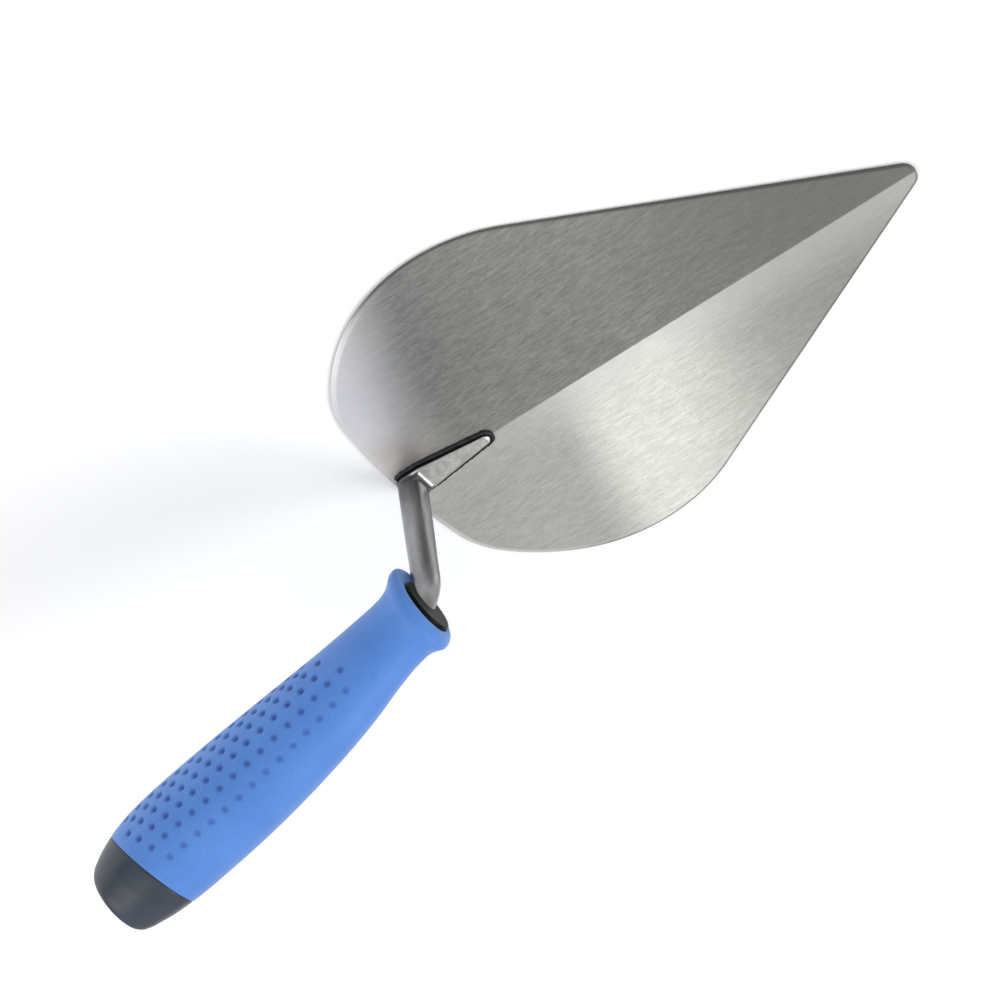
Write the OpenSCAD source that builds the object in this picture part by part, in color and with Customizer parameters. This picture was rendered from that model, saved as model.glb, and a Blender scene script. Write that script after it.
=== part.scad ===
// Brick trowel: a taper-ground heart-shaped steel blade, a forged cranked tang
// welded to it, and a moulded two-material handle.
//
// Frame: millimetres. The origin is on the blade's flat underside, on the
// centre line, below the blade's widest section. +X runs forward to the tip,
// +Z up to the handle's side, +Y to the left. The tool is a mirror image of
// itself about the plane Y = 0.

/* [Blade] */
// Length of the blade from heel to tip
blade_length = 200; // [190:1:210]
// Width of the blade at its widest section
blade_width = 140; // [135:1:145]
// Distance from the heel to the widest section
widest_at = 61; // [59:1:64]
// Radius of the rounded sides
side_radius = 65.6; // [63:0.2:67]
// Radius of each heel corner
corner_radius = 32; // [30:1:35]
// Radius of the shallow heel curve
heel_radius = 260; // [240:10:300]
// Distance from the outer ends' tangent line to the middle of the heel
heel_set = 1.2; // [0.8:0.1:1.4]
// Radius of the tip
tip_radius = 4.6; // [4:0.2:6]
// Thickness along the centre ridge at the heel
ridge_heel = 2.2; // [2:0.1:2.6]
// Thickness along the centre ridge at the tip
ridge_tip = 1.4; // [1.2:0.1:1.8]
// Slope of each ground face away from the ridge, in degrees
grind_angle = 0.9; // [0.6:0.1:1]

/* [Tang] */
// Diameter of the round shank
shank_d = 9.4; // [9:0.2:10]
// Distance from the heel to the foot of the shank
shank_x = 6.8; // [6:0.2:8]
// Forward lean of the shank, in degrees
shank_lean = 5; // [4:0.2:6]
// Bend radius at the top of the shank
bend_r = 17; // [16:0.5:18]
// Width of the tongue at the shank
tongue_w = 10; // [9:0.5:11]
// Width of the tongue at its rounded end
tongue_end_w = 3.8; // [3.4:0.2:4.4]
// Distance from the heel to the end of the tongue
tongue_end_x = 39.4; // [37:0.2:42]
// Height of the tongue's top above the underside, at the shank
tongue_h = 4.4; // [4.2:0.1:4.8]
// Length of the spike inside the handle
spike_len = 80; // [70:2:84]

/* [Weld] */
// Width of the weld bead around the tongue
weld_w = 1.4; // [1:0.1:1.8]
// Height of the weld bead's edge above the underside
weld_h = 3.2; // [3:0.1:3.4]

/* [Handle] */
// Height of the handle's axis at the front, above the underside
grip_z = 61.8; // [61:0.2:63]
// Distance from the heel to the handle's front
grip_x = 13; // [12:0.2:14]
// Rise of the handle's axis towards the butt, in degrees
grip_pitch = 23.2; // [22:0.2:26]
// Width of the handle as a share of its height
grip_ratio = 0.83; // [0.8:0.01:0.86]
// Distance along the axis to the seam between grip and butt
seam_z = 122.5; // [121:0.5:127]
// Slope of the seam, millimetres along the axis for each one of height
seam_slope = -0.25; // [-0.3:0.01:-0.2]
// Slope of the handle's front, millimetres along the axis for each one of height
front_slope = 0.12; // [0.08:0.01:0.16]
// Radius of the core's front collar
collar_r = 9.5; // [9.2:0.1:10]
// Radius of the core's spindle at the neck
neck_r = 8; // [7.4:0.1:8.4]

/* [Hidden] */
$fn = 96;

// The origin lies this far in front of the heel.
origin_x = 60;

// ---- blade outline: arcs that meet at common tangents ----
// Centre of the side arc on the +Y half.
side_c = [widest_at, blade_width / 2 - side_radius];
// Centre of the shallow heel arc, on the centre line.
heel_c = [heel_radius + heel_set, 0];
// Centre of the tip arc.
tip_c = [blade_length - tip_radius, 0];

// Angle of a vector, and a point at an angle from a centre.
function ang(v) = atan2(v[1], v[0]);
function polar(c, r, a) = [c[0] + r * cos(a), c[1] + r * sin(a)];

// Centre of the corner arc: it touches both the side arc and the heel arc
// from the inside, so it lies at known distances from their centres.
d_side = side_radius - corner_radius;
d_heel = heel_radius - corner_radius;
d_both = norm(heel_c - side_c);
turn_c = acos((d_side * d_side + d_both * d_both - d_heel * d_heel) / (2 * d_side * d_both));
corner_c = polar(side_c, d_side, ang(heel_c - side_c) + turn_c);

// Direction in which the straight edge's tangent points lie.
to_side = side_c - tip_c;
edge_a = ang(to_side) - acos((tip_radius - side_radius) / norm(to_side));

// Tangent points around the +Y half, from the tip to the heel.
t_tip = polar(tip_c, tip_radius, edge_a);
t_side = polar(side_c, side_radius, edge_a);
corner_a = ang(corner_c - side_c);
t_corner = polar(side_c, side_radius, corner_a);
heel_a = ang(corner_c - heel_c);
t_heel = polar(heel_c, heel_radius, heel_a);

// ---- tang ----
shank_dir = [sin(shank_lean), 0, cos(shank_lean)];
grip_dir = [-cos(grip_pitch), 0, sin(grip_pitch)];
grip_front = [grip_x, 0, grip_z];
bend_turn = 90 - grip_pitch + shank_lean;
// The shank's line starts at z = 4 and meets the handle's axis at this height.
shank_foot = [shank_x, 0, 4];
meet_t = ((grip_x - shank_x) * sin(grip_pitch) + (grip_z - 4) * cos(grip_pitch))
    / (sin(shank_lean) * sin(grip_pitch) + cos(shank_lean) * cos(grip_pitch));
meet = shank_foot + meet_t * shank_dir;
bend_cut = bend_r * tan(bend_turn / 2);
bend_start = meet - bend_cut * shank_dir;
bend_end = meet + bend_cut * grip_dir;
bend_c = bend_start + bend_r * [-cos(shank_lean), 0, sin(shank_lean)];
// Distance along the handle's axis at which the bend ends.
bend_end_z = (grip_front[0] - bend_end[0]) * cos(grip_pitch) + (bend_end[2] - grip_front[2]) * sin(grip_pitch);

// ---- handle profile ----
// Each row is [distance along the axis, height above it, depth below it].
profile = [
    [2.6, 12.2, 14.8], [3.2, 13.3, 16.8], [4.4, 14.2, 18.0], [6.0, 14.3, 17.8], [8.5, 13.3, 15.2],
    [11.5, 12.4, 14.0], [16, 12.3, 13.9], [20, 12.5, 14.2], [27, 13.6, 14.6], [37, 15.7, 15.2],
    [49, 17.2, 16.5], [61, 17.9, 18.0], [73, 18.1, 19.6], [85, 17.8, 21.2],
    [97, 17.0, 22.7], [109, 15.9, 23.8], [117, 15.2, 23.6], [123, 14.5, 22.5],
    [129, 13.2, 21.2], [133, 11.9, 20.0], [136.5, 10.6, 18.5], [138.6, 8.9, 16.3], [139.4, 6.2, 12.8]
];
// Cubic through the rows, with slopes taken from each row's neighbours.
function row_at(z, i = 0) = i >= len(profile) - 2 || z < profile[i + 1][0] ? i : row_at(z, i + 1);
function slope(i, k) =
    let(a = max(i - 1, 0), b = min(i + 1, len(profile) - 1))
    (profile[b][k] - profile[a][k]) / (profile[b][0] - profile[a][0]);
function along(z, k) =
    let(i = row_at(z), h = profile[i + 1][0] - profile[i][0], t = (z - profile[i][0]) / h,
        t2 = t * t, t3 = t2 * t)
    (2 * t3 - 3 * t2 + 1) * profile[i][k] + (t3 - 2 * t2 + t) * h * slope(i, k)
    + (3 * t2 - 2 * t3) * profile[i + 1][k] + (t3 - t2) * h * slope(i + 1, k);

ring_n = 32;
// Length of the handle along its axis.
grip_len = 139.4;
// One elliptical ring at distance z, sheared by sl along the axis.
function ring(z, sl) =
    let(up = along(z, 1), dn = along(z, 2), b = (up + dn) / 2, e = (up - dn) / 2)
    [for (i = [0:ring_n - 1]) let(a = 360 * i / ring_n, x = e + b * cos(a))
        [x, grip_ratio * b * sin(a), z + sl * x]];

// The front's slope fades out behind the flare. The seam's slope fades in
// towards the seam, and out again towards the flat end.
function shear(z) = z < 24 ? front_slope * (1 + 0.4 * min(2, z - 2.6)) * pow((24 - z) / 20, 2)
    : z < seam_z ? seam_slope * pow(max(0, (z - 65) / (seam_z - 65)), 2)
    : seam_slope * max(0, (grip_len - z) / (grip_len - seam_z));

grip_rows = [2.6, 3.2, 4.4, 6, 8.5, 11.5, 16, 20, 27, 37, 49, 61, 73, 85, 97, 109, 117, seam_z];
butt_rows = [seam_z, 128, 131, 134, 136.5, 138, 138.8, grip_len];

// A closed skin through a list of rings, with a flat fan at each end.
module skin(rows) {
    rings = [for (z = rows) ring(z, shear(z))];
    n = len(rows);
    first = [for (i = [0:ring_n - 1]) rings[0][i]];
    last = [for (i = [0:ring_n - 1]) rings[n - 1][i]];
    mid0 = [along(rows[0], 1) / 2 - along(rows[0], 2) / 2, 0,
            rows[0] + shear(rows[0]) * (along(rows[0], 1) - along(rows[0], 2)) / 2];
    mid1 = [along(rows[n - 1], 1) / 2 - along(rows[n - 1], 2) / 2, 0,
            rows[n - 1] + shear(rows[n - 1]) * (along(rows[n - 1], 1) - along(rows[n - 1], 2)) / 2];
    pts = concat([for (r = rings, p = r) p], [mid0, mid1]);
    sides = [for (j = [0:n - 2], i = [0:ring_n - 1]) let(a = j * ring_n + i, b = j * ring_n + (i + 1) % ring_n)
        each [[a, b + ring_n, b], [a, a + ring_n, b + ring_n]]];
    cap0 = [for (i = [0:ring_n - 1]) [n * ring_n, i, (i + 1) % ring_n]];
    cap1 = [for (i = [0:ring_n - 1]) [n * ring_n + 1, (n - 1) * ring_n + (i + 1) % ring_n, (n - 1) * ring_n + i]];
    polyhedron(points = pts, faces = concat(sides, cap0, cap1));
}

// Puts its children in the handle's own frame: x up, z from the front to the butt.
module on_grip() translate(grip_front) rotate([0, grip_pitch - 90, 0]) children();

// ---- blade ----
// Points of an arc between two angles, ends included.
function arc(c, r, a0, a1, n) = [for (i = [0:n]) polar(c, r, a0 + (a1 - a0) * i / n)];
function full(a) = a < 0 ? a + 360 : a;
// Points of the +Y half, from the tip to the middle of the heel.
half = concat(arc(tip_c, tip_radius, 0, edge_a, 7), arc(side_c, side_radius, edge_a, full(corner_a), 40),
    [for (i = [1:14]) polar(corner_c, corner_radius, full(corner_a) + (full(heel_a) - full(corner_a)) * i / 14)],
    [for (i = [1:6]) polar(heel_c, heel_radius, full(heel_a) + (180 - full(heel_a)) * i / 6)]);
n_half = len(half);

module outline() {
    polygon(concat(half, [for (i = [n_half - 2:-1:1]) [half[i][0], -half[i][1]]]));
}

// Everything above one ground face, for cutting.
module above_face(side) {
    drop = atan((ridge_heel - ridge_tip) / blade_length);
    translate([0, 0, ridge_heel]) rotate([-side * grind_angle, 0, 0]) rotate([0, drop, 0])
        translate([-50, side > 0 ? -10 : -140, 0]) cube([320, 150, 20]);
}

// The space that the blade fills around the tongue.
module under_faces() {
    difference() {
        translate([-5, -20, -1]) cube([60, 40, ridge_heel + 3]);
        above_face(1);
        above_face(-1);
    }
}

module blade_solid() {
    difference() {
        linear_extrude(height = ridge_heel + 1) outline();
        above_face(1);
        above_face(-1);
    }
}

module blade() color([0.66, 0.67, 0.65]) translate([-origin_x, 0, 0]) blade_solid();

// ---- tang ----
module tongue_outline(grow) {
    r = tongue_end_w / 2;
    hull_y = tongue_w / 2 + grow;
    polygon([[4.4 - grow, -hull_y + 1.5], [5.9 - grow, -hull_y], [13, -hull_y], [tongue_end_x - r, -r - grow],
             [tongue_end_x - r, r + grow], [13, hull_y], [5.9 - grow, hull_y], [4.4 - grow, hull_y - 1.5]]);
    translate([tongue_end_x - r, 0]) circle(r = r + grow);
}

module tang_solid() {
    difference() {
        union() {
            // tongue, sloping down slightly towards its end
            difference() {
                linear_extrude(height = tongue_h + 1) tongue_outline(0);
                translate([0, -20, tongue_h]) rotate([0, 1.2, 0]) cube([60, 40, 6]);
            }
            // shank
            translate([shank_x, 0, 4]) rotate([0, shank_lean, 0]) translate([0, 0, -3])
                cylinder(d = shank_d, h = norm(bend_start - shank_foot) + 3);
            // chamfered web between shank and tongue
            translate([shank_x + 2, 3.8, 3]) rotate([90, 0, 0])
                linear_extrude(height = 7.6) polygon([[0, 0], [5.4, 0], [5.4, 0.8], [4, 1.9], [3, 4], [0, 4]]);
            // bend into the handle
            translate(bend_c) rotate([0, shank_lean, 0]) rotate([90, 0, 0])
                rotate_extrude(angle = bend_turn) translate([bend_r, 0]) circle(d = shank_d);
            // cores that tie the straight lengths to the bend
            translate(bend_start) rotate([0, shank_lean, 0]) translate([0, 0, -2]) cylinder(d = shank_d - 0.6, h = 3.2);
            // spike inside the handle, stepped down behind a small shoulder
            on_grip() translate([0, 0, bend_end_z - 1.4])
                cylinder(d1 = shank_d - 0.5, d2 = 5, h = spike_len);
        }
        under_faces();
    }
}

module tang() color([0.42, 0.43, 0.44]) translate([-origin_x, 0, 0]) tang_solid();

// ---- weld bead ----
module weld_bead() color([0.2, 0.2, 0.21]) translate([-origin_x, 0, 0])
    difference() {
        linear_extrude(height = weld_h) difference() {
            tongue_outline(weld_w);
            tongue_outline(0);
        }
        translate([shank_x, 0, 4]) rotate([0, shank_lean, 0]) translate([0, 0, -6]) cylinder(d = shank_d, h = 14);
        under_faces();
    }

// ---- handle core ----
// The spindle that the grip is moulded round.
module spindle(extra) {
    rotate_extrude()
        polygon([[0, -4], [collar_r, -4], [collar_r, 9], [neck_r, 15],
                 [neck_r, 29], [neck_r + 2.4, 49], [neck_r + 3, 85], [neck_r + 2, 109], [neck_r + 1, 117 + extra], [0, 117 + extra]]);
}

// The hole that the tang fills.
module tang_hole() {
    on_grip() translate([0, 0, bend_end_z - 1.4]) cylinder(d1 = shank_d - 0.5, d2 = 5, h = spike_len);
    translate(bend_c) rotate([0, shank_lean, 0]) rotate([90, 0, 0])
        rotate_extrude(angle = bend_turn) translate([bend_r, 0]) circle(d = shank_d);
    translate(bend_start) rotate([0, shank_lean, 0]) translate([0, 0, -12]) cylinder(d = shank_d, h = 12);
}

module handle_core() color([0.27, 0.29, 0.31]) translate([-origin_x, 0, 0])
    difference() {
        union() {
            on_grip() difference() {
                spindle(12);
                // the collar's face follows the slope of the handle's front
                translate([0, 0, 1.4]) rotate([0, -atan(front_slope), 0]) translate([-30, -30, -20]) cube([60, 60, 20]);
            }
            on_grip() skin(butt_rows);
        }
        tang_hole();
    }

// ---- grip sleeve ----
module grip_sleeve() color([0.32, 0.53, 0.87]) translate([-origin_x, 0, 0])
    on_grip() difference() {
        skin(grip_rows);
        spindle(14);
    }

blade();
tang();
weld_bead();
handle_core();
grip_sleeve();
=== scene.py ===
import math

import bpy
import numpy as np
from mathutils import Matrix, Vector


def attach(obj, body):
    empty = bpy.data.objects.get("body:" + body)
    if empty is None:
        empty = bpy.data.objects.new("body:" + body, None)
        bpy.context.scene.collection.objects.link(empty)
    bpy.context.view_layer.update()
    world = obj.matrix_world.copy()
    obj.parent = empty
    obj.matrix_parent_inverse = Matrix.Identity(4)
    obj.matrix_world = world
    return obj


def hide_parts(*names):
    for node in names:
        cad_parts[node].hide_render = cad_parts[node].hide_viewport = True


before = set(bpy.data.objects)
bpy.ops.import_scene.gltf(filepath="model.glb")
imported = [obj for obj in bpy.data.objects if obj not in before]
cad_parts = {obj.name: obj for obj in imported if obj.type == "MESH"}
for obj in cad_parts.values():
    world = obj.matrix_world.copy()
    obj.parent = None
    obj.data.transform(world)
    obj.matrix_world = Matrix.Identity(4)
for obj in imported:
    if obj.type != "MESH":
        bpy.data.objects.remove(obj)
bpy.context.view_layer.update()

MM = 0.001
ORIGIN_X = 60.0  # the heel lies this far behind the origin


# ---------------------------------------------------------------- helpers
def make_mesh(name, verts, faces, smooth=True):
    me = bpy.data.meshes.new(name)
    me.from_pydata([tuple(v) for v in np.asarray(verts) * MM], [], [tuple(int(i) for i in f) for f in faces])
    me.validate()
    me.update()
    o = bpy.data.objects.new(name, me)
    bpy.context.scene.collection.objects.link(o)
    for p in me.polygons:
        p.use_smooth = smooth
    return o


def weld(o, dist=1e-6):
    import bmesh
    bm = bmesh.new()
    bm.from_mesh(o.data)
    bmesh.ops.remove_doubles(bm, verts=bm.verts, dist=dist)
    bmesh.ops.dissolve_degenerate(bm, dist=1e-7, edges=bm.edges)
    bmesh.ops.recalc_face_normals(bm, faces=bm.faces)
    bm.to_mesh(o.data)
    bm.free()
    for p in o.data.polygons:
        p.use_smooth = True


def apply_modifiers(o):
    dg = bpy.context.evaluated_depsgraph_get()
    me = bpy.data.meshes.new_from_object(o.evaluated_get(dg))
    old = o.data
    o.modifiers.clear()
    o.data = me
    bpy.data.meshes.remove(old)
    for p in me.polygons:
        p.use_smooth = True


def put_attribute(o, name, values):
    """A number on every vertex, for the material to read."""
    a = o.data.attributes.new(name, "FLOAT", "POINT")
    a.data.foreach_set("value", np.asarray(values, np.float32))


def grid_faces(n, m, wrap):
    """Quads of an n by m grid of vertices; wrap closes the second direction."""
    f = []
    for i in range(n - 1):
        for j in range(m if wrap else m - 1):
            a, b = i * m + j, i * m + (j + 1) % m
            f.append((a, b, b + m, a + m))
    return f


def smoothstep(t):
    t = np.clip(t, 0.0, 1.0)
    return t * t * (3 - 2 * t)


# ---------------------------------------------------------------- blade
LENGTH, WIDTH, WIDEST = 200.0, 140.0, 61.0
SIDE_R, CORNER_R, HEEL_R, HEEL_SET, TIP_R = 65.6, 32.0, 260.0, 1.2, 4.6
RIDGE_HEEL, RIDGE_TIP, GRIND = 2.2, 1.4, math.tan(math.radians(0.9))


def polar(c, r, a):
    return np.stack([c[0] + r * np.cos(a), c[1] + r * np.sin(a)], -1)


def blade_outline():
    side = np.array([WIDEST, WIDTH / 2 - SIDE_R])
    heel = np.array([HEEL_R + HEEL_SET, 0.0])
    tip = np.array([LENGTH - TIP_R, 0.0])
    ds, dh = SIDE_R - CORNER_R, HEEL_R - CORNER_R
    db = np.linalg.norm(heel - side)
    turn = math.acos((ds * ds + db * db - dh * dh) / (2 * ds * db))
    v = heel - side
    corner = polar(side, ds, math.atan2(v[1], v[0]) + turn)
    ts = side - tip
    ea = math.atan2(ts[1], ts[0]) - math.acos((TIP_R - SIDE_R) / np.linalg.norm(ts))
    full = lambda a: a + 2 * math.pi if a < 0 else a
    ca = full(math.atan2(*(corner - side)[::-1]))
    ha = full(math.atan2(*(corner - heel)[::-1]))
    p0, p1 = polar(tip, TIP_R, ea), polar(side, SIDE_R, ea)
    pts = [polar(tip, TIP_R, np.linspace(0, ea, 15)),
           p0 + (p1 - p0) * np.linspace(0, 1, 90)[1:-1, None],
           polar(side, SIDE_R, np.linspace(ea, ca, 110)),
           polar(corner, CORNER_R, np.linspace(ca, ha, 36)[1:]),
           polar(heel, HEEL_R, np.linspace(ha, math.pi, 22)[1:])]
    out = np.concatenate(pts)
    d = np.gradient(out, axis=0)
    d[0], d[-1] = (0, 1), (0, -1)
    d /= np.linalg.norm(d, axis=1)[:, None]
    return out, np.stack([d[:, 1], -d[:, 0]], 1)


def roof(x, y):
    """Height of the ground faces; the ridge is very slightly worn."""
    ay = np.sqrt(y * y + 0.3 * 0.3) - 0.3
    return RIDGE_HEEL - (RIDGE_HEEL - RIDGE_TIP) / LENGTH * x - ay * GRIND


def build_blade():
    out, nor = blade_outline()
    n = len(out)
    # how much of the heel's rim is ground to a narrow bevel
    heel_w = smoothstep((out[:, 0] * -1 + 46) / 30.0)
    insets = [0.0, 0.05, 0.14, 0.3, 0.6, 1.0, 1.5, 1.9, 2.3, 3.2]
    inner = out - nor * insets[-1]
    inner[:, 1] = np.maximum(inner[:, 1], 0.0)
    t = np.linspace(0, 1, n)
    ridge_x = inner[0, 0] + (inner[-1, 0] - inner[0, 0]) * (inner[:, 0] - inner[0, 0]) / (inner[-1, 0] - inner[0, 0])
    ridge_x = np.minimum.accumulate(ridge_x)
    ridge = np.stack([ridge_x, np.zeros(n)], 1)
    rows, rim, bevel_highlight = [], [], []
    steps = np.concatenate([[0, 0.004, 0.012, 0.03, 0.06], np.linspace(0.1, 1.0, 22)])
    for s in steps:  # from the ridge out to the rim's start
        p = ridge + (inner - ridge) * s
        rows.append(np.c_[p, roof(p[:, 0], p[:, 1])])
        rim.append(np.zeros(n)); bevel_highlight.append(np.zeros(n))
    for d in insets[::-1][1:]:
        p = out - nor * d
        p[:, 1] = np.maximum(p[:, 1], 0.0)
        z = roof(p[:, 0], p[:, 1])
        z = z - heel_w * 0.52 * np.clip((1.9 - d) / 1.9, 0, 1) - 0.10 * np.clip((0.3 - d) / 0.3, 0, 1) ** 2
        rows.append(np.c_[p, z])
        # rim holds painted shade along the edge; bevel holds a painted highlight on the heel's bevel
        rim.append((1 - heel_w) * 0.75 * float(np.clip((0.7 - d) / 0.4, 0, 1)))
        bevel_highlight.append(heel_w * 0.8 * float(np.clip((2.0 - d) / 0.4, 0, 1)) * (0.35 + 0.65 * smoothstep((out[:, 1] - 10) / 20)))
    zt = rows[-1][:, 2].copy()
    for k, (d, h) in enumerate([(-0.0, 0.5), (0.0, 0.25)]):
        p = out.copy()
        rows.append(np.c_[p, 0.12 + (zt - 0.12) * h])
    for d, z in [(0.04, 0.05), (0.14, 0.0), (1.5, 0.0)]:
        p = out - nor * d
        p[:, 1] = np.maximum(p[:, 1], 0.0)
        rows.append(np.c_[p, np.full(n, z)])
    for s in (0.66, 0.33, 0.0):
        p = ridge + (inner - ridge) * s
        rows.append(np.c_[p, np.zeros(n)])
    g = np.stack(rows, 0)  # row, station, xyz
    m = len(rows)
    v = g.reshape(-1, 3)
    f = grid_faces(m, n, False)
    v2 = v * [1, -1, 1]
    f2 = [tuple(i + len(v) for i in q[::-1]) for q in f]
    v = np.concatenate([v, v2])
    v[:, 0] -= ORIGIN_X
    o = make_mesh("blade_body", v, f + f2)
    # the edge and underside rows take the rim's painted shade
    rim += [np.full(n, 0.75)] * (m - len(rim))
    bevel_highlight += [np.zeros(n)] * (m - len(bevel_highlight))
    put_attribute(o, "rim", np.concatenate([np.concatenate(rim)] * 2))
    put_attribute(o, "bevel_highlight", np.concatenate([np.concatenate(bevel_highlight)] * 2))
    weld(o)
    return o


# ---------------------------------------------------------------- tang
SHANK_D, SHANK_X, LEAN, BEND_R = 9.4, 6.8, math.radians(5.0), 17.0
TONGUE_W, TONGUE_END_W, TONGUE_END_X, TONGUE_H = 10.0, 3.8, 39.4, 4.4
GRIP_X, GRIP_Z, PITCH, RATIO = 13.0, 61.8, math.radians(23.2), 0.83
A = np.array([-math.cos(PITCH), 0, math.sin(PITCH)])
N = np.array([math.sin(PITCH), 0, math.cos(PITCH)])
Y = np.array([0, 1.0, 0])
S0 = np.array([GRIP_X, 0, GRIP_Z])
SD = np.array([math.sin(LEAN), 0, math.cos(LEAN)])


def tang_path():
    foot = np.array([SHANK_X, 0, 4.0])
    meet_t = ((GRIP_X - SHANK_X) * math.sin(PITCH) + (GRIP_Z - 4) * math.cos(PITCH)) / (
        math.sin(LEAN) * math.sin(PITCH) + math.cos(LEAN) * math.cos(PITCH))
    meet = foot + meet_t * SD
    turn = math.pi / 2 - PITCH + LEAN
    cut = BEND_R * math.tan(turn / 2)
    b0, b1 = meet - cut * SD, meet + cut * A
    c = b0 + BEND_R * np.array([-math.cos(LEAN), 0, math.sin(LEAN)])
    return foot, b0, b1, c, turn


def tongue_half(x):
    """Half-width of the tongue's top at a distance from the heel."""
    r = TONGUE_END_W / 2
    end = TONGUE_END_X - r
    w = np.interp(x, [2.6, 3.4, 4.6, 6.2, 13, end], [3.2, 3.9, 4.6, TONGUE_W / 2, TONGUE_W / 2, r])
    over = np.clip((x - end) / r, 0, 1)
    return np.where(x > end, r * np.sqrt(np.maximum(1 - over ** 2, 0)), w)


def build_tang():
    foot, b0, b1, c, turn = tang_path()
    # tube: shank, bend, spike
    pts, dirs, rad, sq = [], [], [], []
    length = np.linalg.norm(b0 - foot)
    for t in np.linspace(-1.2, length, 46)[:-1]:
        pts.append(foot + t * SD); dirs.append(SD)
        rad.append(SHANK_D / 2); sq.append(max(0.0, 1 - t / 38.0))
    for a in np.linspace(0, turn, 40):
        r0 = b0 - c
        ca, sa = math.cos(-a), math.sin(-a)
        p = c + np.array([r0[0] * ca + r0[2] * sa, 0, -r0[0] * sa + r0[2] * ca])
        d = np.array([SD[0] * ca + SD[2] * sa, 0, -SD[0] * sa + SD[2] * ca])
        pts.append(p); dirs.append(d); rad.append(SHANK_D / 2); sq.append(0.0)
    for t in np.linspace(1, 76, 30):
        pts.append(b1 + t * A); dirs.append(A); rad.append(4.4 - 1.9 * t / 76 if t > 2 else 4.6); sq.append(0.0)
    m = 72
    ang = np.linspace(0, 2 * math.pi, m, endpoint=False)
    rings = []
    for p, d, r, s in zip(pts, dirs, rad, sq):
        u = np.cross(Y, d); u /= np.linalg.norm(u)
        e = 2.0 + 1.3 * s  # superellipse: round to rounded square
        cx, sy = np.cos(ang), np.sin(ang)
        k = (np.abs(cx) ** e + np.abs(sy) ** e) ** (-1 / e)
        k = k * (1 - 0.045 * s)
        rings.append(p + (r * k * cx)[:, None] * u + (r * k * sy)[:, None] * Y)
    v = np.concatenate(rings)
    f = grid_faces(len(rings), m, True)
    nv = len(v)
    v = np.concatenate([v, [pts[0], pts[-1]]])
    f += [(nv, (j + 1) % m, j) for j in range(m)]
    f += [(nv + 1, nv - m + j, nv - m + (j + 1) % m) for j in range(m)]
    v[:, 0] -= ORIGIN_X
    tube = make_mesh("tang_body", v, f)
    weld(tube)
    # tongue: sloping sides, blunt rounded end
    xs = np.concatenate([np.linspace(2.7, 13, 30), np.linspace(13, TONGUE_END_X - 2.0, 44)[1:],
                         TONGUE_END_X - 1.9 + 1.9 * np.sin(np.linspace(0, math.pi / 2, 12))[1:]])
    sec = []
    for x in xs:
        w = float(tongue_half(np.array(x))) + 1e-3
        # the top slopes down slightly, and rises in a sweep into the shank
        top = TONGUE_H - 0.021 * x
        lift = 6.0 * math.exp(-max(0.0, x - SHANK_X - 3.4) / 1.5) if x > SHANK_X + 3.0 else 6.0
        end_drop = 0.5 * smoothstep((x - (TONGUE_END_X - 1.6)) / 1.6)
        top = top - end_drop
        base = 0.9
        prof = [(w + 0.35, base), (w + 0.30, 2.1), (w + 0.12, top - 0.55), (w - 0.06, top - 0.22), (w - 0.36, top - 0.03),
                (max(w * 0.5, 0), top + 0.03), (0, top + 0.05)]
        half = [(max(a, 0.0), b) for a, b in prof]
        ring = [(x, a, b) for a, b in half] + [(x, -a, b) for a, b in half[::-1][1:]]
        sec.append(ring)
    g = np.array(sec)
    k = g.shape[1]
    v2 = g.reshape(-1, 3)
    f2 = grid_faces(len(xs), k, True)
    n2 = len(v2)
    f2.append(tuple(range(k))[::-1])
    f2.append(tuple(n2 - k + i for i in range(k)))
    v2 = v2.copy(); v2[:, 0] -= ORIGIN_X
    tongue = make_mesh("tongue_tmp", v2, f2)
    weld(tongue)
    # sweep between shank and tongue
    r = 2.4
    xf = SHANK_X + 4.3
    fx, fz = xf + r, TONGUE_H - 0.25 + r
    arc = [(fx - r * math.cos(a), fz - r * math.sin(a)) for a in np.linspace(0.0, math.pi / 2, 14)]
    poly = [(SHANK_X, 3.0), (SHANK_X, fz)] + arc + [(fx, 3.0)]
    hw = lambda x: min(4.1, 4.7 - 0.12 * max(0, x - xf))
    v3 = [(x, hw(x), z) for x, z in poly] + [(x, -hw(x), z) for x, z in poly]
    q = len(poly)
    f3 = [tuple(range(q))[::-1], tuple(range(q, 2 * q))] + [(i, (i + 1) % q, (i + 1) % q + q, i + q) for i in range(q)]
    v3 = np.array(v3); v3[:, 0] -= ORIGIN_X
    sweep = make_mesh("sweep_tmp", v3, f3)
    weld(sweep)
    # one forging: join, rebuild as one skin, soften
    bpy.context.view_layer.update()
    for o in bpy.context.selected_objects:
        o.select_set(False)
    for o in (tongue, sweep, tube):
        o.select_set(True)
    bpy.context.view_layer.objects.active = tube
    bpy.ops.object.join()
    r1 = tube.modifiers.new("skin", "REMESH")
    r1.mode = "VOXEL"
    r1.voxel_size = 0.26 * MM
    r1.use_smooth_shade = True
    s1 = tube.modifiers.new("soft", "SMOOTH")
    s1.factor = 0.5
    s1.iterations = 4
    apply_modifiers(tube)
    return tube


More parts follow.
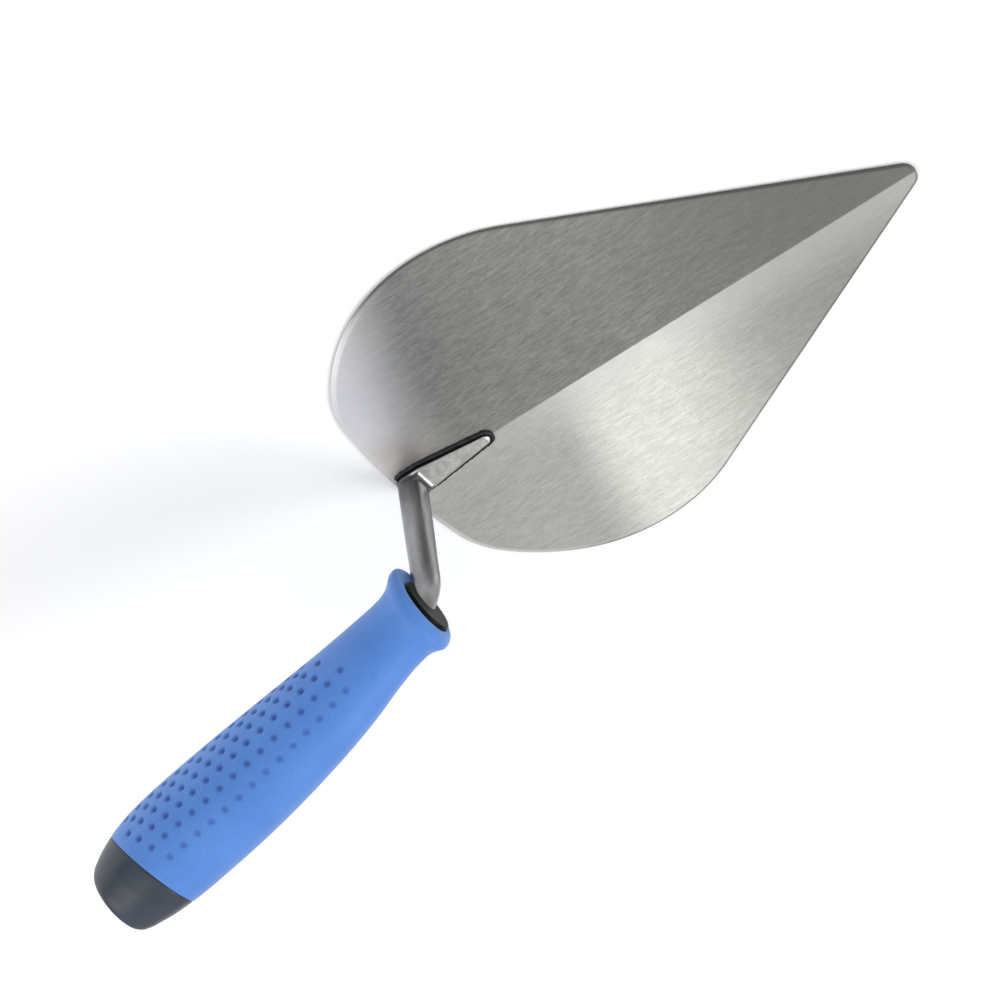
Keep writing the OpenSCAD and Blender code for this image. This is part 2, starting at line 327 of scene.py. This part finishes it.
# ---------------------------------------------------------------- weld
def build_weld():
    rng = np.random.default_rng(7)
    # path round the tongue, from one side of the shank to the other
    xs = np.concatenate([np.linspace(3.6, 13, 40), np.linspace(13, TONGUE_END_X - 1.9, 130)[1:]])
    side = np.c_[xs, tongue_half(xs) + 0.55]
    end_a = np.linspace(math.pi / 2, 0, 26)[1:]
    end = np.c_[TONGUE_END_X - 1.9 + (1.9 + 0.5) * np.cos(end_a), (1.9 + 0.5) * np.sin(end_a)]
    half = np.concatenate([side, end])
    path = np.concatenate([half, (half * [1, -1])[::-1][1:]])
    d = np.gradient(path, axis=0)
    d /= np.linalg.norm(d, axis=1)[:, None]
    nrm = np.stack([-d[:, 1], d[:, 0]], 1)
    s = np.r_[0, np.cumsum(np.linalg.norm(np.diff(path, axis=0), axis=1))]
    m = 20
    ang = np.linspace(0, 2 * math.pi, m, endpoint=False)
    wob = 0.06 * np.sin(s * 2.4) + 0.05 * np.sin(s * 0.9 + 1.0) + 0.03 * rng.standard_normal(len(s))
    rings = []
    for i, p in enumerate(path):
        z0 = float(roof(p[0], p[1])) + 0.12
        rw, rh = 0.86 + wob[i], 0.80 + 0.6 * wob[i]
        u = nrm[i]
        rings.append(np.c_[p[0] + rw * np.cos(ang) * u[0], p[1] + rw * np.cos(ang) * u[1], z0 + rh * np.sin(ang)])
    v = np.concatenate(rings)
    f = grid_faces(len(path), m, True)
    nv = len(v)
    v = np.concatenate([v, [rings[0].mean(0), rings[-1].mean(0)]])
    f += [(nv, (j + 1) % m, j) for j in range(m)]
    f += [(nv + 1, nv - m + j, nv - m + (j + 1) % m) for j in range(m)]
    v[:, 0] -= ORIGIN_X
    o = make_mesh("weld_line", v, f)
    weld(o)
    return o


# ---------------------------------------------------------------- handle
PROFILE = np.array([
    [2.6, 12.2, 14.8], [3.2, 13.3, 16.8], [4.4, 14.2, 18.0], [6.0, 14.3, 17.8], [8.5, 13.3, 15.2],
    [11.5, 12.4, 14.0], [16, 12.3, 13.9], [20, 12.5, 14.2], [27, 13.6, 14.6], [37, 15.7, 15.2],
    [49, 17.2, 16.5], [61, 17.9, 18.0], [73, 18.1, 19.6], [85, 17.8, 21.2],
    [97, 17.0, 22.7], [109, 15.9, 23.8], [117, 15.2, 23.6], [123, 14.5, 22.5],
    [129, 13.2, 21.2], [133, 11.9, 20.0], [136.5, 10.6, 18.5], [138.6, 8.9, 16.3], [139.4, 6.2, 12.8]])
SEAM, SEAM_SLOPE, FRONT_SLOPE, GRIP_LEN = 122.5, -0.25, 0.12, 139.4
COLLAR_R = 9.5


def along(z, k):
    z = np.asarray(z, float)
    P = PROFILE
    i = np.clip(np.searchsorted(P[:, 0], z, side="right") - 1, 0, len(P) - 2)
    sl = np.empty(len(P))
    for j in range(len(P)):
        a, b = max(j - 1, 0), min(j + 1, len(P) - 1)
        sl[j] = (P[b, k] - P[a, k]) / (P[b, 0] - P[a, 0])
    h = P[i + 1, 0] - P[i, 0]
    t = np.clip((z - P[i, 0]) / h, 0, 1)
    return ((2 * t ** 3 - 3 * t ** 2 + 1) * P[i, k] + (t ** 3 - 2 * t ** 2 + t) * h * sl[i]
            + (3 * t ** 2 - 2 * t ** 3) * P[i + 1, k] + (t ** 3 - t ** 2) * h * sl[i + 1])


def shear(z):
    z = np.asarray(z, float)
    front = FRONT_SLOPE * (1 + 0.4 * np.clip(z - 2.6, 0, 2)) * ((24 - z) / 20) ** 2
    mid = SEAM_SLOPE * np.maximum(0, (z - 65) / (SEAM - 65)) ** 2
    back = SEAM_SLOPE * np.maximum(0, (GRIP_LEN - z) / (GRIP_LEN - SEAM))
    return np.where(z < 24, front, np.where(z < SEAM, mid, back))


def grip_point(z, ang, grow=0.0):
    """Points on the handle's outside at distance z and ellipse angle ang; grow moves them out along the radius."""
    up, dn = along(z, 1), along(z, 2)
    b, e = (up + dn) / 2 + grow, (up - dn) / 2
    x = e + b * np.cos(ang)
    y = RATIO * b * np.sin(ang)
    return x, y, z + shear(z) * x


def to_row(x, y, z):
    p = S0 + z[..., None] * A + x[..., None] * N + y[..., None] * Y
    p = p.copy()
    p[..., 0] -= ORIGIN_X
    return p


def dimples():
    """(distance, ellipse angle in degrees, depth) of every dimple on both flanks."""
    rows = [
        (36.3, 5.76, 14, [36, 55, 75, 95, 111], [38.3, 35.9, 34.8, 34.6, 36.0], 0.42, False),
        (33.5, 5.74, 15, [33, 50, 70, 90, 114], [61.6, 57.3, 54.6, 53.8, 55.6], 0.62, True),
        (41.4, 5.72, 14, [41, 60, 80, 100, 116], [78.8, 74.3, 70.8, 69.6, 72.5], 0.75, True),
        (38.1, 5.72, 15, [38, 55, 75, 95, 118], [96.0, 92.3, 86.3, 83.6, 88.6], 0.80, True),
        (46.2, 5.72, 13, [46, 60, 80, 100, 115], [108.0, 105.0, 100.0, 97.6, 101.0], 0.80, True),
        (43.6, 5.72, 14, [43, 60, 80, 100, 118], [120.0, 118.0, 114.0, 111.0, 114.0], 0.80, True),
    ]
    out = []
    for s0, step, n, xs, ps, depth, both in rows:
        for i in range(n):
            s = s0 + step * i
            psi = float(np.interp(s, xs, ps))
            out.append((s, psi, depth))
            if both:
                out.append((s, -psi, depth))
    return out


def build_grip():
    # stations: bore, front face, crest, outside, seam, bore
    outer = np.concatenate([np.array([2.60, 2.66, 2.78, 2.95, 3.15, 3.4, 3.7, 4.05, 4.45, 4.9, 5.4, 6.0, 6.7, 7.5, 8.3, 9.2, 10.2,
                                      11.4, 12.8, 14.4, 16.2, 18.2, 20.4, 22.6, 24.8, 26.8, 28.6]),
                            np.arange(30.0, 118.8, 0.36), np.array([119.2, 120.0, 120.8, 121.5])])
    # angles: finer on the dimpled flanks
    m = 264
    u = np.linspace(0, 1, 4001)
    psi = (u - 0.5) * 360
    dens = 0.45 + 1.0 * (smoothstep((np.abs(psi) - 22) / 12) * smoothstep((136 - np.abs(psi)) / 12))
    cum = np.cumsum(dens); cum = (cum - cum[0]) / (cum[-1] - cum[0])
    ang = np.radians(np.interp(np.arange(m) / m, cum, psi))
    cos, sin = np.cos(ang), np.sin(ang)
    rings = []
    # bore and front face
    x0, y0, z0 = grip_point(2.6, ang)
    def face_ring(r, dz):
        x, y = r * cos, r * sin
        return np.stack([x, y, 2.6 + dz + FRONT_SLOPE * x], 1)
    rings.append(face_ring(COLLAR_R - 0.05, 4.0))
    rings.append(face_ring(COLLAR_R, 0.55))
    rings.append(face_ring(COLLAR_R + 0.12, 0.18))
    rings.append(face_ring(COLLAR_R + 0.45, 0.02))
    base = face_ring(COLLAR_R + 0.45, 0.02)
    rim = np.stack([x0, y0, z0], 1)
    for t in (0.35, 0.7):
        rings.append(base + (rim - base) * t + [0, 0, 0.05])
    zz = outer[:, None] + 0 * ang[None, :]
    aa = ang[None, :] + 0 * outer[:, None]
    X, Yy, Z = grip_point(zz, aa)
    P = np.stack([X, Yy, Z], -1)
    # outward normals of the smooth skin
    du = np.gradient(P, axis=0)
    dv = np.roll(P, -1, 1) - np.roll(P, 1, 1)
    nr = np.cross(dv, du)
    nr /= np.linalg.norm(nr, axis=-1)[..., None]
    out = np.stack([cos, sin, 0 * cos], -1)[None]
    nr = np.where(((nr * out).sum(-1) < 0)[..., None], -nr, nr)
    disp = np.zeros(P.shape[:2])
    pit_shade = np.zeros(P.shape[:2])
    for s, deg, depth in dimples():
        cx, cy, cz = grip_point(np.array(s), np.array(math.radians(deg)))
        # the station as measured already lies on the sheared surface
        cz = s
        k = (np.abs(outer - s) < 9)
        q = P[k]
        d = np.sqrt((q[..., 0] - cx) ** 2 + (q[..., 1] - cy) ** 2 + (q[..., 2] - cz) ** 2)
        disp[k] -= 1.35 * depth * (1 - smoothstep(d / 1.75))
        # painted shade in each dimple's hollow, stored for the grip material
        pit_shade[k] = np.maximum(pit_shade[k], (1 - smoothstep((d - 0.5) / 1.25)) * min(1.0, depth / 0.75))
    P = P + nr * disp[..., None]
    rings += [P[i] for i in range(len(outer))]
    # seam: a small rounded lip, then in to the bore
    for dz, g in ((121.95, -0.02), (122.3, -0.10), (122.46, -0.26), (122.5, -0.55)):
        x, y, z = grip_point(dz, ang, grow=g)
        rings.append(np.stack([x, y, z], 1))
    x, y, z = grip_point(122.5, ang, grow=-5.0)
    rings.append(np.stack([x, y, z], 1))
    first = len(rings) - 5 - len(outer)
    g = np.stack(rings)
    v = to_row(g[..., 0], g[..., 1], g[..., 2]).reshape(-1, 3)
    o = make_mesh("grip_skin", v, grid_faces(len(rings), m, True))
    dark = np.zeros((len(rings), m))
    dark[first:first + len(outer)] = pit_shade
    put_attribute(o, "pit_shade", dark.ravel())
    # close the ring of the bore, so that the skin is one solid
    nr_ = len(rings)
    import bmesh
    bm = bmesh.new()
    bm.from_mesh(o.data)
    bm.verts.ensure_lookup_table()
    a, b = [bm.verts[j] for j in range(m)], [bm.verts[(nr_ - 1) * m + j] for j in range(m)]
    for j in range(m):
        bm.faces.new((a[j], b[j], b[(j + 1) % m], a[(j + 1) % m]))
    bmesh.ops.recalc_face_normals(bm, faces=bm.faces)
    bm.to_mesh(o.data)
    bm.free()
    for p in o.data.polygons:
        p.use_smooth = True
    return o


def build_core():
    m = 144
    ang = np.linspace(0, 2 * math.pi, m, endpoint=False)
    cos, sin = np.cos(ang), np.sin(ang)
    rings = []
    for r, dz in ((0.02, 0.12), (3.0, 0.12), (5.4, 0.12), (7.4, 0.08), (8.5, 0.02), (9.0, 0.03), (9.3, 0.12), (9.44, 0.32), (9.46, 0.8), (9.46, 2.4)):
        x, y = r * cos, r * sin
        rings.append(np.stack([x, y, 1.4 + dz + FRONT_SLOPE * x], 1))
    for z, r in ((9, 9.4), (15, 7.9), (29, 7.9), (49, 10.2), (85, 10.8), (109, 9.8), (118, 9.4)):
        rings.append(np.stack([r * cos, r * sin, z + 0 * cos], 1))
    for z, g in ((122.5, -5.0), (122.5, -0.9), (122.55, -0.42), (122.7, -0.18), (123.0, -0.08)):
        x, y, zz = grip_point(z, ang, grow=g)
        rings.append(np.stack([x, y, zz], 1))
    for z in np.concatenate([np.linspace(123.5, 134, 22), np.linspace(134.3, 138.2, 16), np.linspace(138.35, 139.38, 12)]):
        x, y, zz = grip_point(z, ang, grow=-0.03)
        rings.append(np.stack([x, y, zz], 1))
    last = rings[-1]
    c = last.mean(0)
    for s in (0.93, 0.8, 0.6, 0.3, 0.02):
        q = c + (last - c) * s
        q[:, 2] = last[:, 2] + 0.0
        rings.append(q)
    g = np.stack(rings)
    v = to_row(g[..., 0], g[..., 1], g[..., 2]).reshape(-1, 3)
    o = make_mesh("core_body", v, grid_faces(len(rings), m, True))
    weld(o, 2e-5)
    import bmesh
    bm = bmesh.new()
    bm.from_mesh(o.data)
    bmesh.ops.holes_fill(bm, edges=[e for e in bm.edges if e.is_boundary], sides=0)
    bmesh.ops.recalc_face_normals(bm, faces=bm.faces)
    bm.to_mesh(o.data)
    bm.free()
    for p in o.data.polygons:
        p.use_smooth = True
    return o


# ---------------------------------------------------------------- materials
def new_material(name):
    mat = bpy.data.materials.new(name)
    mat.use_nodes = True
    nt = mat.node_tree
    nt.nodes.clear()
    out = nt.nodes.new("ShaderNodeOutputMaterial")
    bs = nt.nodes.new("ShaderNodeBsdfPrincipled")
    nt.links.new(bs.outputs["BSDF"], out.inputs["Surface"])
    return mat, nt, bs


def node(nt, kind, **inputs):
    n = nt.nodes.new(kind)
    for k, v in inputs.items():
        n.inputs[k.replace("_", " ")].default_value = v
    return n


def coords(nt, scale, rot=(0, 0, 0), loc=(0, 0, 0)):
    tc = nt.nodes.new("ShaderNodeTexCoord")
    mp = nt.nodes.new("ShaderNodeMapping")
    mp.inputs["Scale"].default_value = scale
    mp.inputs["Rotation"].default_value = rot
    mp.inputs["Location"].default_value = loc
    nt.links.new(tc.outputs["Object"], mp.inputs["Vector"])
    return mp.outputs["Vector"]


def noise(nt, vec, scale, detail=4.0, rough=0.55, distort=0.0):
    n = nt.nodes.new("ShaderNodeTexNoise")
    n.inputs["Scale"].default_value = scale
    n.inputs["Detail"].default_value = detail
    n.inputs["Roughness"].default_value = rough
    n.inputs["Distortion"].default_value = distort
    nt.links.new(vec, n.inputs["Vector"])
    return n.outputs["Fac"]


def ramp(nt, fac, stops):
    r = nt.nodes.new("ShaderNodeValToRGB")
    el = r.color_ramp.elements
    while len(el) < len(stops):
        el.new(0.5)
    for e, (p, c) in zip(el, stops):
        e.position = p
        e.color = (c, c, c, 1) if isinstance(c, (int, float)) else (*c, 1)
    nt.links.new(fac, r.inputs["Fac"])
    return r.outputs["Color"]


def math_node(nt, op, a, b=None, clamp=False):
    n = nt.nodes.new("ShaderNodeMath")
    n.operation = op
    n.use_clamp = clamp
    for i, v in enumerate((a, b)):
        if v is None:
            continue
        if isinstance(v, (int, float)):
            n.inputs[i].default_value = v
        else:
            nt.links.new(v, n.inputs[i])
    return n.outputs[0]


def mix(nt, fac, a, b, kind="MIX"):
    n = nt.nodes.new("ShaderNodeMix")
    n.data_type = "RGBA"
    n.blend_type = kind
    if isinstance(fac, (int, float)):
        n.inputs["Factor"].default_value = fac
    else:
        nt.links.new(fac, n.inputs["Factor"])
    for key, v in ((6, a), (7, b)):
        if isinstance(v, tuple):
            n.inputs[key].default_value = (*v, 1)
        else:
            nt.links.new(v, n.inputs[key])
    return n.outputs[2]


def map_range(nt, v, a, b, c, d):
    n = nt.nodes.new("ShaderNodeMapRange")
    n.interpolation_type = "SMOOTHSTEP"
    n.inputs["From Min"].default_value = a
    n.inputs["From Max"].default_value = b
    n.inputs["To Min"].default_value = c
    n.inputs["To Max"].default_value = d
    nt.links.new(v, n.inputs["Value"])
    return n.outputs["Result"]


def bump(nt, bs, height, strength, distance, under=None):
    b = nt.nodes.new("ShaderNodeBump")
    b.inputs["Strength"].default_value = strength
    b.inputs["Distance"].default_value = distance
    nt.links.new(height, b.inputs["Height"])
    if under is not None:
        nt.links.new(under, b.inputs["Normal"])
    nt.links.new(b.outputs["Normal"], bs.inputs["Normal"])
    return b.outputs["Normal"]


def attribute(nt, name):
    n = nt.nodes.new("ShaderNodeAttribute")
    n.attribute_type = "GEOMETRY"
    n.attribute_name = name
    return n.outputs["Fac"]


def object_xyz(nt):
    tc = nt.nodes.new("ShaderNodeTexCoord")
    sp = nt.nodes.new("ShaderNodeSeparateXYZ")
    nt.links.new(tc.outputs["Object"], sp.inputs[0])
    return sp.outputs


def blade_material():
    mat, nt, bs = new_material("blade_ground_steel")
    x, y, z = object_xyz(nt)
    # grain: short scratches that run across the blade, a little askew
    g1 = noise(nt, coords(nt, (190, 1300, 400), rot=(0, 0, 0.30)), 1.0, 6.0, 0.70)
    g2 = noise(nt, coords(nt, (900, 5200, 900), rot=(0, 0, 0.18)), 1.0, 3.0, 0.6)
    cloud = noise(nt, coords(nt, (1, 1, 1)), 26.0, 5.0, 0.6, 0.4)
    patch = noise(nt, coords(nt, (1, 1, 1)), 9.0, 3.0, 0.5)
    grain = math_node(nt, "ADD", math_node(nt, "MULTIPLY", g1, 0.6), math_node(nt, "MULTIPLY", g2, 0.4))
    # painted light and shade: the two ground faces get different colours, the -Y face painted lighter and the +Y face
    # darker, as the ridge's two slopes catch the light differently
    lit_half_mask = map_range(nt, y, -0.0003, 0.0003, 1.0, 0.0)
    dark = ramp(nt, grain, [(0.36, (0.180, 0.182, 0.170)), (0.64, (0.345, 0.347, 0.327))])
    light = ramp(nt, grain, [(0.34, (0.42, 0.42, 0.40)), (0.66, (0.68, 0.68, 0.655))])
    # painted highlight: a diagonal bright band on the lighter face
    d = math_node(nt, "ADD", math_node(nt, "MULTIPLY", x, 0.96), math_node(nt, "MULTIPLY", y, -0.28))
    s1 = map_range(nt, d, -0.002, 0.024, 0.12, 1.0)
    s2 = map_range(nt, d, 0.030, 0.085, 1.0, 0.0)
    band_highlight = math_node(nt, "MULTIPLY", s1, s2)
    band_highlight = math_node(nt, "MULTIPLY", band_highlight, math_node(nt, "ADD", math_node(nt, "MULTIPLY", cloud, 0.7), 0.65), True)
    shade = mix(nt, band_highlight, (0.74, 0.74, 0.73), (1.45, 1.45, 1.42))
    light = mix(nt, 1.0, light, shade, "MULTIPLY")
    col = mix(nt, lit_half_mask, dark, light)
    soft = ramp(nt, patch, [(0.3, 0.90), (0.7, 1.08)])
    col = mix(nt, 1.0, col, soft, "MULTIPLY")
    # painted highlight: the light face is brightest beside the ridge
    crest_highlight = map_range(nt, math_node(nt, "ABSOLUTE", y), 0.0, 0.022, 0.50, 0.0)
    crest_highlight = math_node(nt, "MULTIPLY", crest_highlight, map_range(nt, x, -0.02, 0.03, 0.3, 1.0))
    crest_highlight = math_node(nt, "MULTIPLY", crest_highlight, lit_half_mask)
    col = mix(nt, crest_highlight, col, (0.82, 0.82, 0.79))
    # painted light: the dark face lightens toward the heel's corner
    heel = map_range(nt, math_node(nt, "SUBTRACT", math_node(nt, "MULTIPLY", y, 0.35), x), 0.030, 0.066, 0.0, 0.85)
    heel = math_node(nt, "MULTIPLY", heel, map_range(nt, y, 0.002, 0.012, 0.0, 1.0))
    col = mix(nt, heel, col, (0.98, 0.94, 0.89))
    # heat tint beside the weld, and painted shade darkening the tip
    dx = math_node(nt, "SUBTRACT", x, -0.050)
    dy = math_node(nt, "SUBTRACT", y, 0.012)
    r2 = math_node(nt, "ADD", math_node(nt, "MULTIPLY", dx, dx), math_node(nt, "MULTIPLY", dy, dy))
    tint = map_range(nt, math_node(nt, "SQRT", r2), 0.002, 0.015, 0.45, 0.0)
    tint = math_node(nt, "MULTIPLY", tint, ramp(nt, cloud, [(0.35, 0.2), (0.65, 1.0)]))
    col = mix(nt, tint, col, (0.30, 0.20, 0.12))
    tip_shade = map_range(nt, x, 0.035, 0.115, 0.0, 0.72)
    tip_shade = math_node(nt, "MULTIPLY", tip_shade, map_range(nt, y, -0.0003, 0.0003, 0.45, 1.0))
    col = mix(nt, tip_shade, col, (0.16, 0.165, 0.155))
    # painted shade on the rim, the edge's side face and underside in shade, and a painted highlight on the heel's
    # bevel
    col = mix(nt, attribute(nt, "rim"), col, (0.070, 0.070, 0.066))
    col = mix(nt, attribute(nt, "bevel_highlight"), col, (0.86, 0.86, 0.84))
    nt.links.new(col, bs.inputs["Base Color"])
    bs.inputs["Metallic"].default_value = 0.86
    rough = math_node(nt, "ADD", math_node(nt, "MULTIPLY", grain, 0.26), 0.27)
    nt.links.new(rough, bs.inputs["Roughness"])
    bs.inputs["Anisotropic"].default_value = 0.35
    h = math_node(nt, "ADD", math_node(nt, "MULTIPLY", grain, 1.0), math_node(nt, "MULTIPLY", cloud, 0.35))
    bump(nt, bs, h, 0.30, 0.00025)
    return mat


def tang_material():
    mat, nt, bs = new_material("tang_forged_steel")
    x, y, z = object_xyz(nt)
    n1 = noise(nt, coords(nt, (500, 500, 140)), 1.0, 5.0, 0.6)
    n2 = noise(nt, coords(nt, (170, 170, 38)), 1.0, 4.0, 0.6, 0.5)
    shank = ramp(nt, n2, [(0.30, (0.20, 0.203, 0.212)), (0.55, (0.28, 0.283, 0.292)), (0.75, (0.38, 0.382, 0.39))])
    # dark forging scale just above the tongue
    scale = map_range(nt, z, 0.007, 0.022, 0.55, 0.0)
    shank = mix(nt, scale, shank, (0.055, 0.056, 0.064))
    bright = ramp(nt, n1, [(0.3, (0.36, 0.36, 0.345)), (0.7, (0.58, 0.58, 0.56))])
    # the tongue's top is ground bright; the rest stays dark
    geo = nt.nodes.new("ShaderNodeNewGeometry")
    sp = nt.nodes.new("ShaderNodeSeparateXYZ")
    nt.links.new(geo.outputs["Normal"], sp.inputs[0])
    flat = map_range(nt, sp.outputs["Z"], 0.70, 0.93, 0.0, 1.0)
    low = map_range(nt, z, 0.0052, 0.0085, 1.0, 0.0)
    top = math_node(nt, "MULTIPLY", flat, low)
    side = map_range(nt, z, 0.0036, 0.0042, 1.0, 0.0)
    col = mix(nt, top, shank, bright)
    dark_side = math_node(nt, "MULTIPLY", side, math_node(nt, "SUBTRACT", 1.0, flat, True))
    col = mix(nt, dark_side, col, (0.016, 0.016, 0.020))
    nt.links.new(col, bs.inputs["Base Color"])
    bs.inputs["Metallic"].default_value = 0.9
    rough = math_node(nt, "ADD", math_node(nt, "MULTIPLY", n2, 0.18), 0.22)
    nt.links.new(rough, bs.inputs["Roughness"])
    bump(nt, bs, math_node(nt, "ADD", n1, math_node(nt, "MULTIPLY", n2, 0.8)), 0.18, 0.0003)
    return mat


def weld_material():
    mat, nt, bs = new_material("weld_black")
    n1 = noise(nt, coords(nt, (1, 1, 1)), 420.0, 4.0, 0.6, 0.5)
    n2 = noise(nt, coords(nt, (1, 1, 1)), 1500.0, 3.0, 0.6)
    col = ramp(nt, n1, [(0.35, (0.010, 0.010, 0.013)), (0.62, (0.030, 0.030, 0.036)), (0.80, (0.09, 0.09, 0.10))])
    nt.links.new(col, bs.inputs["Base Color"])
    bs.inputs["Metallic"].default_value = 0.6
    nt.links.new(math_node(nt, "ADD", math_node(nt, "MULTIPLY", n1, 0.3), 0.22), bs.inputs["Roughness"])
    bump(nt, bs, math_node(nt, "ADD", n1, math_node(nt, "MULTIPLY", n2, 0.4)), 0.35, 0.0004)
    return mat


def core_material():
    mat, nt, bs = new_material("core_hard_plastic")
    n1 = noise(nt, coords(nt, (1, 1, 1)), 900.0, 4.0, 0.6)
    n2 = noise(nt, coords(nt, (1, 1, 1)), 38.0, 4.0, 0.6, 0.8)
    scuff = noise(nt, coords(nt, (300, 80, 900), rot=(0.3, 0.2, 0.4)), 1.0, 4.0, 0.7)
    col = ramp(nt, n2, [(0.3, (0.017, 0.025, 0.040)), (0.7, (0.031, 0.042, 0.064))])
    sc = ramp(nt, scuff, [(0.66, 0.0), (0.80, 1.0)])
    col = mix(nt, math_node(nt, "MULTIPLY", sc, 0.25), col, (0.12, 0.13, 0.145))
    # the collar in front is the same plastic; its face gets painted shade, darker and less glossy
    cx, cy, cz = object_xyz(nt)
    front = map_range(nt, cx, -0.085, -0.070, 0.0, 1.0)
    col = mix(nt, front, col, (0.003, 0.006, 0.005))
    nt.links.new(col, bs.inputs["Base Color"])
    gloss = math_node(nt, "SUBTRACT", 0.5, math_node(nt, "MULTIPLY", front, 0.42))
    nt.links.new(gloss, bs.inputs["Specular IOR Level"])
    nt.links.new(math_node(nt, "ADD", math_node(nt, "MULTIPLY", n2, 0.16), 0.30), bs.inputs["Roughness"])
    bump(nt, bs, math_node(nt, "ADD", n1, math_node(nt, "MULTIPLY", scuff, 0.5)), 0.12, 0.0002)
    return mat


def grip_material():
    mat, nt, bs = new_material("grip_blue_rubber")
    fine = noise(nt, coords(nt, (1, 1, 1)), 1400.0, 3.0, 0.6)
    mid = noise(nt, coords(nt, (1, 1, 1)), 55.0, 5.0, 0.6, 0.4)
    col = ramp(nt, mid, [(0.3, (0.068, 0.209, 0.610)), (0.7, (0.088, 0.245, 0.668))])
    speck = ramp(nt, fine, [(0.30, 0.93), (0.65, 1.04)])
    col = mix(nt, 1.0, col, speck, "MULTIPLY")
    # painted shade darkens the inside of each dimple
    col = mix(nt, math_node(nt, "MULTIPLY", attribute(nt, "pit_shade"), 0.85), col, (0.022, 0.085, 0.36))
    nt.links.new(col, bs.inputs["Base Color"])
    bs.inputs["Specular IOR Level"].default_value = 0.35
    nt.links.new(math_node(nt, "ADD", math_node(nt, "MULTIPLY", mid, 0.12), 0.44), bs.inputs["Roughness"])
    bs.inputs["Sheen Weight"].default_value = 0.15
    bs.inputs["Sheen Roughness"].default_value = 0.5
    bump(nt, bs, fine, 0.10, 0.00012)
    return mat


# ---------------------------------------------------------------- build
blade = build_blade()
tang = build_tang()
weld_line = build_weld()
core = build_core()
grip = build_grip()

for o, mat, slot, cad in (
    (blade, blade_material(), "blade_steel", "blade"),
    (tang, tang_material(), "tang_steel", "tang"),
    (weld_line, weld_material(), "weld_steel", "weld_bead"),
    (core, core_material(), "core_plastic", "handle_core"),
    (grip, grip_material(), "grip_rubber", "grip_sleeve"),
):
    o.data.materials.clear()
    o.data.materials.append(mat)
    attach(o, "root")
    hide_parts(cad)

# ---------------------------------------------------------------- floor
n = 5
fv = [(x, y, -0.3 + 0.0 * (x + y)) for y in np.linspace(-3000, 3000, n) for x in np.linspace(-3000, 3000, n)]
floor = make_mesh("floor", np.array(fv), grid_faces(n, n, False))
fmat, fnt, fbs = new_material("floor_pale")
fbs.inputs["Base Color"].default_value = (0.93, 0.93, 0.93, 1)
fbs.inputs["Roughness"].default_value = 0.9
floor.data.materials.append(fmat)

# ---------------------------------------------------------------- light
world = bpy.data.worlds.new("studio")
bpy.context.scene.world = world
world.use_nodes = True
wt = world.node_tree
bg = wt.nodes["Background"]
wtc = wt.nodes.new("ShaderNodeTexCoord")
wsp = wt.nodes.new("ShaderNodeSeparateXYZ")
wt.links.new(wtc.outputs["Generated"], wsp.inputs[0])
wcol = ramp(wt, wsp.outputs["Z"], [(0.0, 0.30), (0.25, 0.55), (0.62, 0.92), (1.0, 1.0)])
wt.links.new(wcol, bg.inputs["Color"])
bg.inputs["Strength"].default_value = 0.95


def area(name, loc, target, size, power):
    d = bpy.data.lights.new(name, "AREA")
    d.shape = "RECTANGLE"
    d.size, d.size_y = size
    d.energy = power
    o = bpy.data.objects.new(name, d)
    o.location = loc
    o.rotation_mode = "QUATERNION"
    o.rotation_quaternion = (Vector(target) - Vector(loc)).to_track_quat("-Z", "Y")
    bpy.context.scene.collection.objects.link(o)
    return o


area("key", (0.75, -0.65, 1.0), (-0.05, 0.0, 0.03), (0.7, 0.7), 8.0)
area("fill", (-0.9, 0.5, 0.8), (-0.1, 0.0, 0.05), (0.5, 1.0), 3.0)

# ---------------------------------------------------------------- camera
cam_data = bpy.data.cameras.new("camera")
cam_data.sensor_width = 36.0
cam_data.lens = 71.93
cam_data.clip_start, cam_data.clip_end = 0.05, 20.0
cam = bpy.data.objects.new("camera", cam_data)
right = Vector((0.79327, -0.60660, 0.05249))
upv = Vector((0.47544, 0.56327, -0.67579))
back = Vector((0.38037, 0.56104, 0.73523))
cam.matrix_world = Matrix(((right.x, upv.x, back.x, 0.221827), (right.y, upv.y, back.y, 0.354279),
                           (right.z, upv.z, back.z, 0.499797), (0, 0, 0, 1)))
bpy.context.scene.collection.objects.link(cam)
bpy.context.scene.camera = cam
bpy.context.scene.view_settings.view_transform = "Standard"
bpy.context.scene.view_settings.look = "None"
